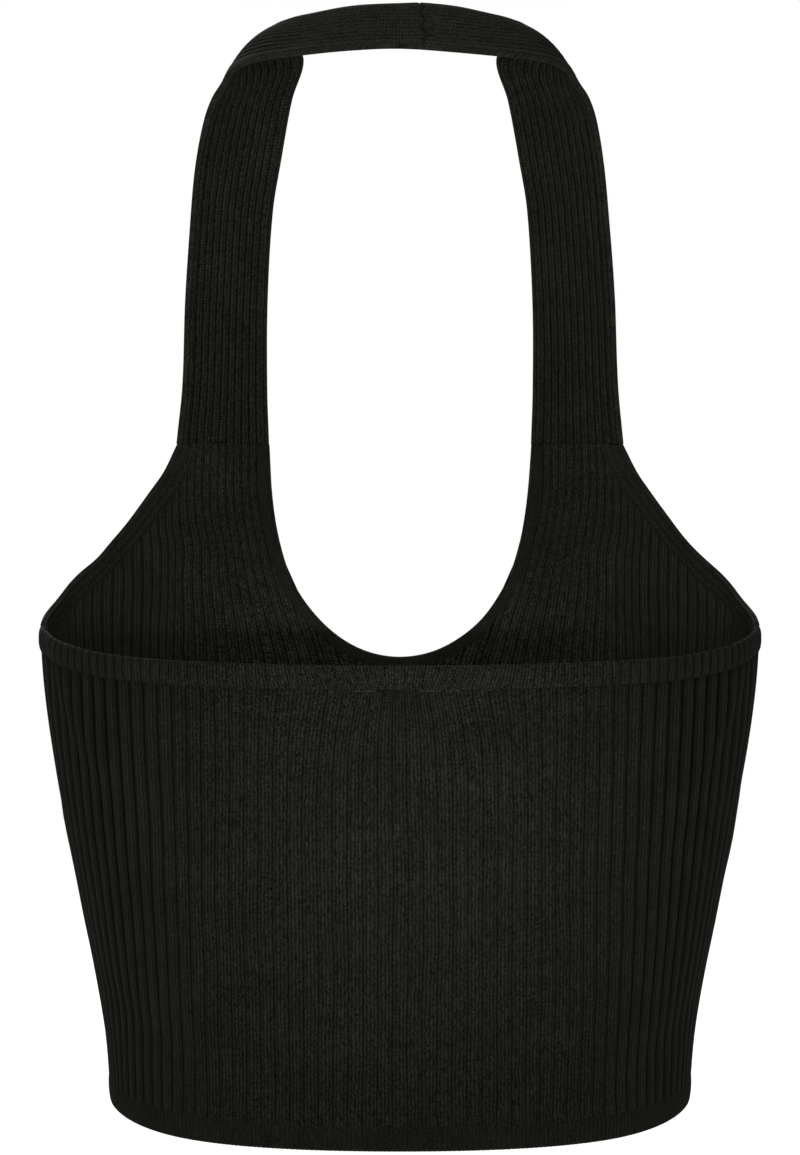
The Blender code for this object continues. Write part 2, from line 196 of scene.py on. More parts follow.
# Soft creases: degrees round the torso from the spine, height, tilt in degrees from level, and
# half length, half width and rise in millimetres (a trough is negative).
CREASES = (
    (73, -0.272, 62, 34, 6, -0.8), (64, -0.281, 55, 40, 7.5, 0.6),
    (-72, -0.276, -60, 36, 6.5, -0.7), (-63, -0.288, -52, 44, 8, 0.5),
    (38, -0.330, 24, 60, 13, -0.6), (-41, -0.347, -18, 55, 12, -0.6),
    (12, -0.384, 7, 70, 11, -0.5), (-16, -0.405, -9, 60, 10, 0.5),
    (57, -0.412, 21, 45, 9, -0.7), (-58, -0.421, -26, 40, 8.5, -0.6),
    (8, -0.275, 86, 50, 16, 0.6), (-27, -0.300, -70, 50, 12, -0.4),
    (122, -0.214, 74, 30, 5.5, -1), (114, -0.232, 60, 26, 5, 0.7),
    (-124, -0.220, -70, 28, 5.5, -0.9), (-113, -0.236, -58, 28, 5, 0.7),
    (131, -0.238, -20, 30, 8, -0.8), (-134, -0.243, 24, 32, 8, -0.7),
    (107, -0.291, 48, 45, 8.5, -1), (-105, -0.286, -44, 42, 8, -1),
    (98, -0.318, 35, 36, 7, 0.6), (-99, -0.328, -33, 38, 7.5, 0.6),
    (161, -0.300, 12, 50, 12, -0.8), (-158, -0.312, -15, 48, 11.5, -0.8),
    (178, -0.291, 3, 34, 7, -0.8), (171, -0.365, 16, 60, 12, -0.6),
    (-166, -0.396, -12, 60, 11, 0.6), (128, -0.404, 24, 50, 10, -0.8),
    (-131, -0.417, -27, 46, 9.5, -0.8),
)

# Places where the ribs swing aside: degrees round from the spine, height, half spread in
# degrees, half spread in height, swing in degrees.
SWINGS = (
    (144, -0.224, 7, 0.010, 0.75),
    (137, -0.212, 5, 0.008, -0.45),
    (-146, -0.228, 7, 0.011, -0.70),
    (-136, -0.214, 5, 0.008, 0.40),
    (118, -0.262, 9, 0.020, -0.50),
    (-116, -0.258, 9, 0.018, 0.45),
    (66, -0.436, 9, 0.014, 0.90),
    (-70, -0.432, 8, 0.012, -0.60),
    (30, -0.350, 12, 0.030, 0.30),
    (-24, -0.380, 12, 0.030, -0.28),
    (-170, -0.330, 12, 0.024, 0.40),
    (165, -0.390, 12, 0.030, -0.35),
)

# The back is gathered a little where its border is sewn on, round the spine.
GATHER = 0.075  # radians
GATHER_WIDTH = 0.22  # radians
GATHER_DROP = 0.016  # how far down the gather reaches


def interpolate(rows, at):
    """Columns of a table on a smooth curve through its rows, as an array with them last."""
    rows = np.asarray(rows, float)
    at = np.asarray(at, float)
    keys = rows[:, 0]
    last = len(keys) - 1
    index = np.clip(np.searchsorted(keys, at) - 1, 0, last - 1)
    step = keys[index + 1] - keys[index]
    part = ((at - keys[index]) / step)[..., None]

    def slope(row):
        before = np.maximum(row - 1, 0)
        after = np.minimum(row + 1, last)
        return (rows[after, 1:] - rows[before, 1:]) / (keys[after] - keys[before])[..., None]

    start = rows[index, 1:]
    end = rows[index + 1, 1:]
    return (
        start * (1 + 2 * part) * (1 - part) ** 2
        + slope(index) * step[..., None] * part * (1 - part) ** 2
        + end * part ** 2 * (3 - 2 * part)
        + slope(index + 1) * step[..., None] * part ** 2 * (part - 1)
    )


def mix(start, end, part):
    """From start at part 0 to end at part 1."""
    return start + (end - start) * part


def smooth(low, high, value):
    """From 0 where the value is low to 1 where it is high."""
    part = np.clip((value - low) / (high - low), 0.0, 1.0)
    return part * part * (3 - 2 * part)


def unit(vectors):
    return vectors / np.maximum(np.linalg.norm(vectors, axis=-1, keepdims=True), 1e-12)


def run_lengths(points):
    """How far along a line each of its points is."""
    steps = np.linalg.norm(np.diff(points, axis=0), axis=1)
    return np.concatenate([[0.0], np.cumsum(steps)])


def with_mirror(half, whole):
    """Values up to the middle, and on from there to the whole."""
    return np.concatenate([half, whole - half[-2::-1]])


def turn_from(degrees, angle):
    """How far an angle is past a place round the torso, the shorter way."""
    return (angle - math.radians(degrees) + math.pi) % (2 * math.pi) - math.pi


def add_object(name, data):
    added = bpy.data.objects.new(name, data)
    bpy.context.scene.collection.objects.link(added)
    return added


def set_inputs(node, values):
    for name, value in values.items():
        node.inputs[name].default_value = value


# --- The torso as a surface ---

def squared(share):
    """Turns a circle's sine or cosine into that of the torso's squarer section."""
    return np.sign(share) * np.abs(share) ** (2 / SECTION_POWER)


def torso_skin(angle, height):
    """Plain outer surface, by angle round from the spine to the wearer's left and height."""
    angle, height = np.broadcast_arrays(angle, height)
    size = interpolate(TORSO, height)
    x = size[..., 0] * squared(np.sin(angle))
    rear = squared(np.cos(angle))
    across = (np.abs(x) - CUP_X) / CUP_RADIUS
    up = (height - CUP_HEIGHT) / CUP_RADIUS
    front = size[..., 3] + CUP_RISE * np.exp(-across ** 2 - up ** 2)
    reach = np.where(rear >= 0, size[..., 2], front)
    return np.stack([x, size[..., 1] + reach * rear, height], -1)


def crease(angle, height):
    """How far the soft creases lift the cloth."""
    total = np.zeros(np.broadcast(angle, height).shape)
    for degrees, level, tilt, length, width, rise in CREASES:
        sideways = turn_from(degrees, angle) * ARC
        up = height - level
        tilt = math.radians(tilt)
        along = sideways * math.cos(tilt) + up * math.sin(tilt)
        across = up * math.cos(tilt) - sideways * math.sin(tilt) - CREASE_CURVE * along ** 2
        away = (1000 * along / length) ** 2 + (1000 * across / width) ** 2
        total += 0.001 * rise * np.exp(-away)
    return total


def drift(angle, height):
    """Small wander of the ribs round the torso, in radians, none at the side seams."""
    hold = np.clip(4 * np.abs(np.cos(angle)), 0, 1)
    wave = (
        0.5 * np.sin(7.3 * angle + 41 * height + 0.6)
        + 0.3 * np.sin(17.9 * angle - 63 * height + 2.1)
        + 0.2 * np.sin(29.7 * angle + 127 * height + 4.0)
    )
    total = 0.0034 * hold * wave
    for degrees, level, width, drop, swing in SWINGS:
        away = turn_from(degrees, angle) / math.radians(width)
        away = away ** 2 + ((height - level) / drop) ** 2
        total = total + math.radians(swing) * hold * np.exp(-away)
    return total


def gathered(angle):
    """How far the gather moves the back's ribs round towards the spine at the border's seam."""
    return GATHER * (angle / GATHER_WIDTH) * np.exp(-(angle / GATHER_WIDTH) ** 2)


def torso_point(angle, height, out):
    """Point that stands out from the creased surface."""
    angle = angle + drift(angle, height)
    along = torso_skin(angle + DELTA, height) - torso_skin(angle - DELTA, height)
    upward = torso_skin(angle, height + DELTA) - torso_skin(angle, height - DELTA)
    lift = out + crease(angle, height)
    return torso_skin(angle, height) + unit(np.cross(upward, along)) * lift[..., None]


def rib_angles(height, span, places):
    """Angles of a panel's columns at a height; the middle ribs keep their pitch."""
    angles = np.linspace(span[0], span[1], GIRTH_SAMPLES)
    runs = run_lengths(torso_skin(angles, height))
    left_over = (0.5 * runs[-1] - 0.5 * RIBS * RIB_PITCH) / (0.5 * RIBS - EVEN_RIBS) ** 2
    ribs = np.abs(places - 0.5) * RIBS
    reach = RIB_PITCH * ribs + left_over * np.maximum(0.0, ribs - EVEN_RIBS) ** 2
    return np.interp(0.5 * runs[-1] + np.sign(places - 0.5) * reach, runs, angles)


# The panels stop half a gap short of the side seams.
SEAM_ANGLE = (0.5 * SEAM_GAP / TORSO[0, 3]) ** (0.5 * SECTION_POWER)
BACK_SPAN = (-0.5 * math.pi + SEAM_ANGLE, 0.5 * math.pi - SEAM_ANGLE)
FRONT_SPAN = (0.5 * math.pi + SEAM_ANGLE, 1.5 * math.pi - SEAM_ANGLE)


def back_top(angle):
    """Height of the back's top edge."""
    return mix(BACK_TOP_MIDDLE, BACK_TOP_SIDE, np.abs(np.sin(angle)) ** BACK_TOP_SHARPNESS)


def hem_edge(angle):
    """Height of the hem's lower edge."""
    return mix(HEM_MIDDLE, HEM_SIDE, np.abs(np.sin(angle)) ** HEM_SHARPNESS)


# --- Materials ---

class Graph:
    """Shorthand for a material's nodes."""

    def __init__(self, name):
        self.material = bpy.data.materials.new(name)
        self.material.use_nodes = True
        self.tree = self.material.node_tree
        self.shader = self.tree.nodes["Principled BSDF"]

    def node(self, kind):
        return self.tree.nodes.new("ShaderNode" + kind)

    def link(self, source, socket):
        if isinstance(source, bpy.types.NodeSocket):
            self.tree.links.new(source, socket)
        else:
            socket.default_value = source

    def math(self, operation, *values):
        node = self.node("Math")
        node.operation = operation
        for value, socket in zip(values, node.inputs):
            self.link(value, socket)
        return node.outputs[0]

    def scaled(self, value, factor, offset):
        return self.math("MULTIPLY_ADD", value, factor, offset)

    def varied(self, value, source, factor, offset):
        """The value times the scaled source."""
        return self.math("MULTIPLY", value, self.scaled(source, factor, offset))

    def off_middle(self, value, whole=1.0):
        """How far a value is from half the whole: 0 there, 1 at the ends."""
        return self.math("ABSOLUTE", self.scaled(value, 2.0 / whole, -1.0))

    def sine(self, half_turns):
        return self.math("SINE", self.math("MULTIPLY", half_turns, math.pi))

    def lobe(self, part, power):
        return self.math("POWER", self.math("MAXIMUM", self.sine(part), 0.0), power)

    def noise(self, vector, scale, detail, roughness=0.5):
        node = self.node("TexNoise")
        self.link(vector, node.inputs["Vector"])
        set_inputs(node, {"Scale": scale, "Detail": detail, "Roughness": roughness})
        return node.outputs[0]

    def speckle(self, x, y):
        """A random value for each pair of whole numbers."""
        place = self.node("CombineXYZ")
        self.link(x, place.inputs[0])
        self.link(y, place.inputs[1])
        node = self.node("TexWhiteNoise")
        node.noise_dimensions = "2D"
        self.link(place.outputs[0], node.inputs["Vector"])
        return node.outputs[0]

    def paint(self, tint, tone):
        colour = self.node("VectorMath")
        colour.operation = "SCALE"
        colour.inputs[0].default_value = tint
        self.link(tone, colour.inputs["Scale"])
        self.link(colour.outputs[0], self.shader.inputs["Base Color"])

    def emboss(self, height, strength, distance):
        bump = self.node("Bump")
        set_inputs(bump, {"Strength": strength, "Distance": distance})
        self.link(height, bump.inputs["Height"])
        self.link(bump.outputs[0], self.shader.inputs["Normal"])


def knit_material(name, tint, wales, grooves, relief, span=None):
    """Stitches in columns and rows, on a map that counts them.

    grooves is how dark the painted shade in the lines between ribs is, in the middle and at the
    sides of a piece that is span stitches wide, where the cloth is less stretched and the shade
    is painted broader. relief is how strong the stitches' painted shade and highlight and their
    random tone are.
    """
    g = Graph(name)
    uv = g.node("UVMap")
    uv.uv_map = "knit"
    place = g.node("SeparateXYZ")
    g.link(uv.outputs[0], place.inputs[0])
    wander = g.noise(uv.outputs[0], 0.45, 1.0)
    column = g.math("ADD", place.outputs[0], g.scaled(wander, 0.30, -0.15))
    row = g.math("ADD", place.outputs[1], g.scaled(wander, -0.8, 0.4))

    # A stitch has two legs that lean together in its column.
    across = g.math("FRACT", column)
    side = g.off_middle(across)
    lean = g.scaled(side, -0.6, row)
    bead = g.math("ABSOLUTE", g.sine(lean))
    leg = g.lobe(side, 0.6)
    stitch = g.math("MULTIPLY", g.scaled(bead, 0.65, 0.35), g.scaled(leg, 0.6, 0.4))
    line = g.lobe(across, 0.8)

    # Each leg and each longer stretch of yarn has its own tone.
    whole_column = g.math("FLOOR", column)
    leg_number = g.scaled(whole_column, 2.0, g.math("GREATER_THAN", across, 0.5))
    chance = g.speckle(leg_number, g.math("FLOOR", g.math("MULTIPLY", lean, 1.7)))
    chance_long = g.speckle(whole_column, g.math("FLOOR", g.math("MULTIPLY", row, 0.31)))
    fibre = g.noise(uv.outputs[0], 3.1, 3.0, 0.7)
    patch = g.noise(uv.outputs[0], 0.05, 2.0)

    # Painted shade in the grooves between the ribs: thin lines in the middle, broad dark ones at
    # the sides.
    slack = 0.0
    if span:
        slack = g.scaled(g.off_middle(place.outputs[0], span), 3.2, -1.25)
        slack = g.math("MINIMUM", g.math("MAXIMUM", slack, 0.0), 1.0)
    rib = g.math("FRACT", g.math("DIVIDE", place.outputs[0], float(wales)))
    groove = g.math("POWER", g.off_middle(rib), g.scaled(slack, -2.8, 5.0))
    groove = g.varied(groove, chance, 0.5, 0.75)
    groove = g.varied(groove, slack, grooves[1] - grooves[0], grooves[0])

    # Painted shade and highlight of the stitches' relief: lighter on each stitch's bead and in
    # the middle of its column, darker between the columns. Then random tone, a little lighter at
    # the sides of a piece.
    tone = g.scaled(bead, 1.30 * relief, 1 - 0.82 * relief)
    tone = g.varied(tone, line, 1.30 * relief, 1 - 0.86 * relief)
    contrast = g.scaled(slack, -1.0 * relief, 1.75 * relief)
    tone = g.varied(tone, g.math("SUBTRACT", chance, 0.5), contrast, 1.0)
    tone = g.varied(tone, slack, 0.15, 1.0)
    tone = g.varied(tone, chance_long, 0.2, 0.9)
    tone = g.varied(tone, fibre, 1.2, 0.4)
    tone = g.varied(tone, patch, 0.6, 0.7)
    # Colour: the stitches' tone, darkened by the painted groove shade.
    g.paint(tint, g.math("MULTIPLY", tone, g.math("SUBTRACT", 1.0, groove)))
    height = g.math("ADD", g.varied(stitch, chance, 0.5, 0.75), g.math("MULTIPLY", fibre, 0.45))
    g.emboss(height, 1.0, 0.00035)
    set_inputs(g.shader, {
        "Roughness": 0.86, "Specular IOR Level": 0.04,
        "Sheen Weight": 0.003, "Sheen Roughness": 0.55, "Sheen Tint": (1.0, 0.97, 0.85, 1.0),
    })
    return g.material


def thread_material(name, tint):
    """Twisted sewing thread."""
    g = Graph(name)
    coordinates = g.node("TexCoord")
    wave = g.node("TexWave")
    g.link(coordinates.outputs["Object"], wave.inputs["Vector"])
    set_inputs(wave, {"Scale": 900.0, "Distortion": 2.0})
    g.paint(tint, g.scaled(wave.outputs["Fac"], 0.6, 0.7))
    g.emboss(wave.outputs["Fac"], 0.5, 0.0001)
    set_inputs(g.shader, {"Roughness": 0.8, "Specular IOR Level": 0.2})
    return g.material


NO_RIBS = 1000  # columns in a rib of cloth that shows none
# One black yarn, tinted lighter or darker piece by piece for how the light falls on it: painted
# light and shade. The front, whose inside lies in shade, is painted lightest.
BODY_TINT = (0.0094, 0.0097, 0.0070)
FRONT_PAINTED_LIGHT_TINT = (0.0179, 0.0185, 0.0139)
BORDER_TINT = (0.0119, 0.0123, 0.0092)
HEM_TINT = (0.0093, 0.0097, 0.0070)
STRAP_TINT = (0.0140, 0.0142, 0.0107)
BODY_KNIT = knit_material("body_knit", BODY_TINT, BODY_WALES, (0.38, 1.0), 0.88,
                          span=RIBS * BODY_WALES)
FRONT_KNIT = knit_material("front_knit", FRONT_PAINTED_LIGHT_TINT, FRONT_WALES, (0.45, 0.60), 0.85,
                           span=RIBS * FRONT_WALES)
BORDER_KNIT = knit_material("border_knit", BORDER_TINT, FINE_WALES, (0.40, 0.75), 0.9,
                            span=BORDER_RIBS * FINE_WALES)
HEM_KNIT = knit_material("hem_knit", HEM_TINT, HEM_WALES, (0.45, 0.6), 0.75,
                         span=HEM_RIBS * HEM_WALES)
STRAP_KNIT = knit_material("strap_knit", STRAP_TINT, STRAP_WALES, (0.50, 0.50), 0.62)
BAND_KNIT = knit_material("band_knit", STRAP_TINT, STRAP_WALES, (0.32, 0.32), 0.45)
EDGE_KNIT = knit_material("edge_knit", STRAP_TINT, NO_RIBS, (0.0, 0.0), 0.35)
SEAM_THREAD = thread_material("seam_thread", (0.020, 0.020, 0.017))
# Near black: the nape's stitches, part thread and part painted shade of the seam's line.
SEAM_SHADE_THREAD = thread_material("seam_shade_thread", (0.0012, 0.0012, 0.0010))
PALE_THREAD = thread_material("pale_thread", (0.066, 0.066, 0.060))


# --- Walls of cloth ---

def rounded(start, end, toward, bulge):
    """Points that round an edge from one face to the other."""
    middle = 0.5 * (start + end)
    half = 0.5 * (start - end)
    radius = np.linalg.norm(half, axis=-1, keepdims=True)
    turns = [math.pi * (step + 1) / (LIP + 1) for step in range(LIP)]
    return np.stack([
        middle + half * math.cos(turn) + unit(toward) * radius * bulge * math.sin(turn)
        for turn in turns
    ], 1)


def add_piece(name, mesh, material):
    """A piece of the body, with its material."""
    piece = add_object(name, mesh)
    mesh.materials.append(material)
    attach(piece, "root")
    return piece


def knit_map(columns, rows):
    """Map of the knit: columns of stitches across, rows of stitches along."""
    return np.stack(np.broadcast_arrays(columns, rows), -1)


def knit_wall(name, outer, inner, uv, material, bulges, inner_uv=None):
    """Closed cloth between two faces, each of stations by points across.

    bulges is how round the first and the last edge are. The inner face has the outer face's
    map unless it has one of its own.
    """
    count, across = outer.shape[:2]
    both = outer + inner
    end = rounded(outer[:, -1], inner[:, -1], both[:, -1] - both[:, -2], bulges[1])
    start = rounded(inner[:, 0], outer[:, 0], both[:, 0] - both[:, 1], bulges[0])
    loops = np.concatenate([outer, end, inner[:, ::-1], start], 1)
    around = loops.shape[1]
    inner_uv = uv if inner_uv is None else inner_uv
    lip = knit_map(0, np.sin(np.arange(1, LIP + 1) * math.pi / (LIP + 1)))
    loop_uv = np.concatenate([uv, uv[:, -1:] + lip, inner_uv[:, ::-1], uv[:, :1] - lip], 1)
    loop_uv = loop_uv.reshape(-1, 2)
    index = np.arange(count * around).reshape(count, around)
    here, there = index[:-1], index[1:]
    faces = np.stack([here, there, np.roll(there, -1, 1), np.roll(here, -1, 1)], -1)
    faces = faces.reshape(-1, 4).tolist()
    smooth_faces = len(faces)
    for station, flip in ((0, False), (count - 1, True)):
        ring = index[station].tolist()
        for step in range(across - 1):
            other = 2 * across + LIP - 2 - step
            cap = [ring[step], ring[step + 1], ring[other], ring[other + 1]]
            faces.append(cap[::-1] if flip else cap)
        for cap in (ring[across - 1:across + LIP + 1], ring[2 * across + LIP - 1:] + ring[:1]):
            faces.append(cap[::-1] if flip else cap)
    mesh = bpy.data.meshes.new(name)
    points = loops.reshape(-1, 3)
    mesh.from_pydata(points.tolist(), [], faces)
    mesh.update()
    corners = np.empty(len(mesh.loops), dtype=np.int32)
    mesh.loops.foreach_get("vertex_index", corners)
    layer = mesh.uv_layers.new(name="knit")
    layer.data.foreach_set("uv", loop_uv[corners].astype(np.float32).ravel())
    flags = np.arange(len(faces)) < smooth_faces
    mesh.polygons.foreach_set("use_smooth", flags)

    # The faces point out of the wall: one of them shows which way they all turn.
    sample = smooth_faces // 2
    a, b, c, d = (points[corner] for corner in faces[sample])
    middle_ring = loops[sample // around].mean(0)
    if np.dot(np.cross(c - a, d - b), a + b + c + d - 4 * middle_ring) < 0:
        mesh.flip_normals()
    return add_piece(name, mesh, material)


def rib_columns(count, profile):
    """Places of a row of ribs from 0 to 1, and the depths of both faces in metres."""
    table = np.asarray(profile) / 100
    places = ((np.arange(count)[:, None] + table[None, :, 0]) / count).ravel()
    depths = np.tile(table[:, 1:], (count, 1)) * 0.001
    places = np.append(places, 1.0)
    depths = np.vstack([depths, table[:1, 1:] * 0.001])
    return places, depths[:, 0], depths[:, 1]


def torso_wall(name, angles, heights, depths, uv, material, bulges, proud=0.0, puff=0.0,
               fade=1.0, inner_uv=None):
    """Wall round the torso, by columns of angles and heights from its lower to its upper edge.

    proud is how far it stands out, puff how much it swells between its edges, and fade how
    deep its grooves are along a column.
    """
    outer_depth, inner_depth = (depth[:, None] * fade for depth in depths)
    part = np.linspace(0, 1, angles.shape[1])
    puffed = puff * np.sin(math.pi * part) ** 0.7
    outer = torso_point(angles, heights, proud + puffed - outer_depth)
    inner = torso_point(angles, heights, -RIB_RISE - WALL - 0.5 * puffed + inner_depth)
    return knit_wall(name, outer, inner, uv, material, bulges, inner_uv)


def build_back():
    """The back's ribs: stretched flat in the middle, with deeper grooves at the sides."""
    places, outer_depth, inner_depth = rib_columns(RIBS, BODY_RIB)
    slack = smooth(*BACK_SLACK, np.abs(places - 0.5))
    groove = np.abs(2 * ((places * RIBS) % 1) - 1)
    outer_depth = mix(STRETCHED_DEPTH * outer_depth, SLACK_DEPTH * groove ** SLACK_POWER, slack)
    parts = np.linspace(0, 1, BACK_ROWS)
    levels = mix(HEM_MIDDLE + HEM_BAND, BACK_TOP_MIDDLE - BACK_BORDER, parts)
    angles = np.stack([rib_angles(level, BACK_SPAN, places) for level in levels], 1)
    low = hem_edge(angles) + HEM_BAND + EDGE_START
    heights = mix(low, back_top(angles) - BACK_BORDER + UNDER_BORDER, parts)
    below = np.maximum(BACK_TOP_MIDDLE - BACK_BORDER - heights, 0.0)
    angles = angles - gathered(angles) * np.exp(-(below / GATHER_DROP) ** 1.2)
    uv = knit_map(places[:, None] * RIBS * BODY_WALES, heights / COURSE)
    fade = mix(END_DEPTH, 1.0, smooth(0.0, 0.03, parts) * smooth(1.0, 0.975, parts))
    piece = torso_wall("back_panel_knit", angles, heights, (outer_depth, inner_depth), uv,
                       BODY_KNIT, (0.3, 0.1), fade=fade,
                       inner_uv=uv + np.array([0.5 * BODY_WALES, 0.0]))
    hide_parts("back_panel")


def build_border():
    """The back's top edge, whose fine ribs follow the gather below it."""
    places, *depths = rib_columns(BORDER_RIBS, BORDER_RIB)
    parts = np.linspace(0, 1, BORDER_ROWS)
    base = rib_angles(BACK_TOP_MIDDLE, BACK_SPAN, places)[:, None]
    angles = base + gathered(base) * mix(*BORDER_LEAN, parts)
    rise = mix(EDGE_START, BACK_BORDER - BORDER_EDGE, parts)
    heights = back_top(angles) - BACK_BORDER + rise
    uv = knit_map(places[:, None] * BORDER_RIBS * FINE_WALES, heights / COURSE)
    piece = torso_wall("back_border_knit", angles, heights, depths, uv, BORDER_KNIT,
                       (0.3, 0.8), proud=0.5 * BORDER_PROUD, puff=0.0006)
    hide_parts("back_border")


def build_hem(name, node, span):
    """The dense band round half of the bottom edge."""
    places, *depths = rib_columns(HEM_RIBS, HEM_RIB)
    parts = np.linspace(0, 1, HEM_ROWS)
    angles = np.repeat(rib_angles(HEM_MIDDLE, span, places)[:, None], HEM_ROWS, 1)
    heights = hem_edge(angles) + mix(HEM_EDGE, HEM_BAND + HEM_LAP, parts)
    uv = knit_map(places[:, None] * HEM_RIBS * HEM_WALES, heights / COURSE)
    piece = torso_wall(name, angles, heights, depths, uv, HEM_KNIT, (0.8, 0.3),
                       puff=0.0004)
    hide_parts(node)


# --- The front and its edges ---

def edge_angle(x, height):
    """Angle of a place on the front's left half."""
    half_breadth = interpolate(TORSO, height)[..., 0]
    return math.pi - np.arcsin(np.clip(x / half_breadth, 0, 1) ** (0.5 * SECTION_POWER))


def front_edge(rib):
    """Top edge of the front's left half by ribs from the side seam: its angle and height."""
    arm = interpolate(ARMHOLE, np.clip(rib / ARMHOLE_RIBS, 0, 1))
    arm_angle = FRONT_SPAN[0] + np.radians(arm[..., 0])
    joint = np.clip((rib - ARMHOLE_RIBS) / STRAP_RIBS, 0, 1)
    joint_x = mix(STRAP[-1, 3], STRAP[-1, 0], joint)
    joint_height = mix(STRAP[-1, 5], STRAP[-1, 2], joint)
    past = np.clip(rib - ARMHOLE_RIBS - STRAP_RIBS, 0, NECK_RIBS)
    left = np.clip((NECK_RIBS - past) / (NECK_RIBS - EDGE_RIBS), 0, 1)
    turn = np.where(past < EDGE_RIBS, EDGE_TURN * past / EDGE_RIBS,
                    np.arccos(np.cos(EDGE_TURN) * left))
    neck_x = NECKLINE_HALF_WIDTH * np.maximum(np.cos(turn), 0.0)
    neck_height = NECKLINE_TOP - NECKLINE_DEPTH * np.sin(turn) ** (2 / NECKLINE_POWER)
    zones = [rib <= ARMHOLE_RIBS, rib <= ARMHOLE_RIBS + STRAP_RIBS]
    height = np.select(zones, [arm[..., 1], joint_height], neck_height)
    angle = np.select(zones, [arm_angle, edge_angle(joint_x, joint_height)],
                      edge_angle(neck_x, neck_height))
    return angle, height


def front_columns():
    """Columns of the front in ribs of its inner face and of its outer face, and their depths."""
    table = np.asarray(FRONT_RIB) / 100
    inner_half = INNER_ARM_RIBS + STRAP_RIBS + NECK_RIBS
    inner = (np.arange(math.ceil(inner_half))[:, None] + table[:, 0]).ravel()
    inner = np.append(inner[inner < inner_half - 1e-6], inner_half)  # the middle, once
    outer = np.where(inner < INNER_ARM_RIBS, inner * ARMHOLE_RIBS / INNER_ARM_RIBS,
                     inner - INNER_ARM_RIBS + ARMHOLE_RIBS)
    inner = with_mirror(inner, 2 * inner_half)
    outer = with_mirror(outer, RIBS)
    outer_depth = np.interp(outer, table[:, 0], table[:, 1], period=1) * 0.001
    inner_depth = np.interp(inner, table[:, 0], table[:, 2], period=1) * 0.001
    return inner - inner_half + 0.5 * RIBS, outer, outer_depth, inner_depth


def build_front():
    """The front's ribs: upright to the bust, then bent to the armholes, straps and neckline."""
    inner_ribs, ribs, *depths = front_columns()
    places = ribs / RIBS
    parts = 1 - (1 - np.linspace(0, 1, FRONT_ROWS)) ** FRONT_CROWDING
    from_side = np.minimum(ribs, RIBS - ribs)
    top_angle, top_height = front_edge(from_side)
    under_arm = smooth(ARMHOLE_RIBS + 0.8, ARMHOLE_RIBS - 0.4, from_side)
    strap_end = ARMHOLE_RIBS + STRAP_RIBS
    under_neck = smooth(strap_end - 0.2, strap_end + 0.2, from_side)
    top_height = top_height - UNDER_ARM_BAND * under_arm - UNDER_FACING * under_neck
    top_height = top_height + INTO_STRAP * (1 - under_arm) * (1 - under_neck)
    top_angle = np.where(places < 0.5, top_angle, 2 * math.pi - top_angle)
    hem_height = HEM_MIDDLE + HEM_BAND
    hem_angle = rib_angles(hem_height, FRONT_SPAN, places)
    bust_angle = rib_angles(BUST_HEIGHT, FRONT_SPAN, places)
    low = hem_edge(hem_angle) + HEM_BAND + EDGE_START
    heights = mix(low[:, None], top_height[:, None], parts)
    way_up = (heights - hem_height) / (BUST_HEIGHT - hem_height)
    upright = mix(hem_angle[:, None], bust_angle[:, None], way_up)
    # Under the neckline a rib bends as if it went on up to the neckline's top.
    crest = np.where(from_side > ARMHOLE_RIBS, np.maximum(top_height, NECKLINE_TOP), top_height)
    way = (heights - low[:, None]) / (crest - low)[:, None]
    bend = smooth(BEND_START, BEND_END, way)
    angles = mix(upright, top_angle[:, None], bend / bend[:, -1:])
    uv = knit_map(ribs[:, None] * FRONT_WALES, heights / COURSE)
    inner_uv = knit_map((inner_ribs[:, None] + 0.5) * FRONT_WALES, heights / COURSE)
    fade = mix(END_DEPTH, 1.0, smooth(0.0, 0.03, parts))
    piece = torso_wall("front_panel_knit", angles, heights, depths, uv, FRONT_KNIT,
                       (0.3, 0.03), fade=fade, inner_uv=inner_uv)
    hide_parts("front_panel")


def edge_frame(angle, height, ends=None):
    """Unit steps into the cloth from an edge, as (angle, height); ends sets the outer two."""
    stretch = torso_skin(angle + DELTA, height) - torso_skin(angle - DELTA, height)
    scale = np.linalg.norm(stretch, axis=-1) / (2 * DELTA)
    along = unit(np.stack([np.gradient(angle) * scale, np.gradient(height)], -1))
    inward = np.stack([along[:, 1], -along[:, 0]], -1)
    if ends is not None:
        share = np.linspace(0, 1, len(angle))[:, None]
        inward = mix(inward, ends[0], 1 - smooth(0.0, 0.12, share))
        inward = mix(inward, ends[1], smooth(0.88, 1.0, share))
    inward = unit(inward)
    return inward[:, 0] / scale, inward[:, 1]


def edge_strip(name, angle, height, inward, reach, outs, column, material, bulges):
    """Strip that wraps an edge; reach and outs hold the outer face's values, then the inner's.

    inward is the edge's frame, and column the width of one column of stitches.
    """
    turn, rise = inward
    faces = []
    for distance, out in zip(reach, outs):
        angles = angle[:, None] + turn[:, None] * distance
        heights = height[:, None] + rise[:, None] * distance
        faces.append(torso_point(angles, heights, np.broadcast_to(out, angles.shape)))
    outer, inner = faces
    run = run_lengths(inner[:, 0])[:, None]
    uv = knit_map(reach[1] / column, run / COURSE)
    return knit_wall(name, outer, inner, uv, material, bulges)


def build_arm_band(name, mirrored):
    """Ribs that run along an armhole, on both faces of its edge."""
    angle, height = front_edge(np.linspace(0, ARMHOLE_RIBS, EDGE_STATIONS))
    turn, rise = edge_frame(angle, height, ((0.0, -1.0), (1.0, -0.03)))
    places, depth, inner_depth = rib_columns(ARM_BAND_RIBS, STRAP_RIB)
    distance = mix(ARM_BAND_START, ARM_BAND, places)
    if mirrored:
        angle = 2 * math.pi - angle
        turn = -turn
    piece = edge_strip(
        name, angle, height, (turn, rise), (distance, distance),
        (OVERLAY - depth, -RIB_RISE - WALL - OVERLAY + inner_depth),
        ARM_BAND / (ARM_BAND_RIBS * STRAP_WALES), BAND_KNIT, (0.75, 0.5))


